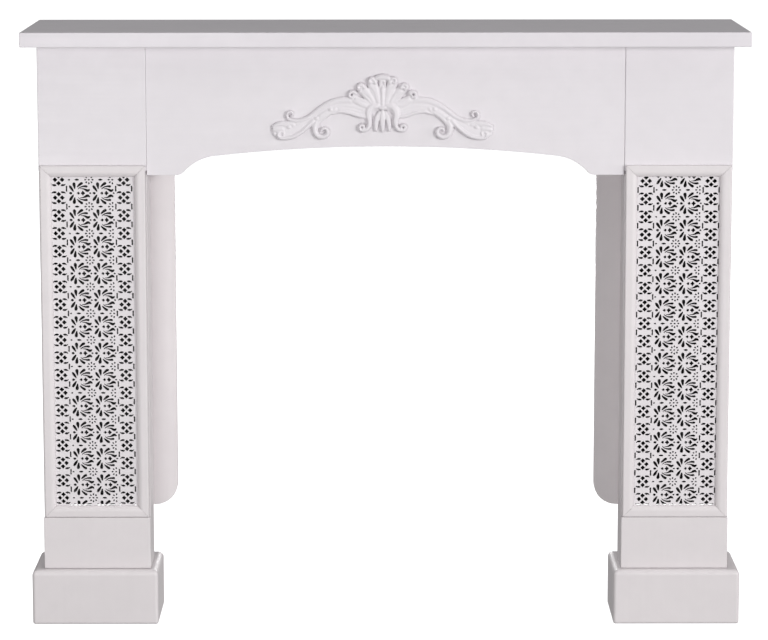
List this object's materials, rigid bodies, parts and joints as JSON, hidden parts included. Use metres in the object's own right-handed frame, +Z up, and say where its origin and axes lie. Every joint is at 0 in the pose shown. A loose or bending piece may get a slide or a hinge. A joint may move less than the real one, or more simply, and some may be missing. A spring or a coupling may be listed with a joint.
{
  "type": "fireplace mantelpiece",
  "caption": "White painted fireplace surround with a plain shelf, an arched apron with a carved shell onlay, and hollow box legs with framed fretwork panels on block plinths.",
  "frame": {"origin": "on the floor, under the middle of the object's bounding box, which is the middle of the shelf", "axes": "+X along the shelf to the right as seen from the front, -Y to the front, +Y to the wall, +Z up"},
  "size_m": [1.2, 0.3, 1],
  "materials": {
    "shelf_paint": "satin white paint",
    "header_paint": "satin white paint",
    "leg_paint": "satin white paint",
    "grille_paint": "eggshell white paint",
    "carving_paint": "eggshell white paint"
  },
  "bodies": {
    "root": {"shelf": "shelf_paint", "apron": "header_paint", "onlay": "carving_paint", "header_facing_left": "header_paint", "header_facing_right": "header_paint", "base_facing_left": "leg_paint", "base_facing_right": "leg_paint", "cheek_inner_left": "leg_paint", "cheek_inner_right": "leg_paint", "cheek_outer_left": "leg_paint", "cheek_outer_right": "leg_paint", "back_board_left": "leg_paint", "back_board_right": "leg_paint", "frame_top_left": "leg_paint", "frame_top_right": "leg_paint", "frame_bottom_left": "leg_paint", "frame_bottom_right": "leg_paint", "frame_outer_left": "leg_paint", "frame_outer_right": "leg_paint", "frame_inner_left": "leg_paint", "frame_inner_right": "leg_paint", "grille_left": "grille_paint", "grille_right": "grille_paint", "plinth_left": "leg_paint", "plinth_right": "leg_paint"}
  },
  "joints": []
}
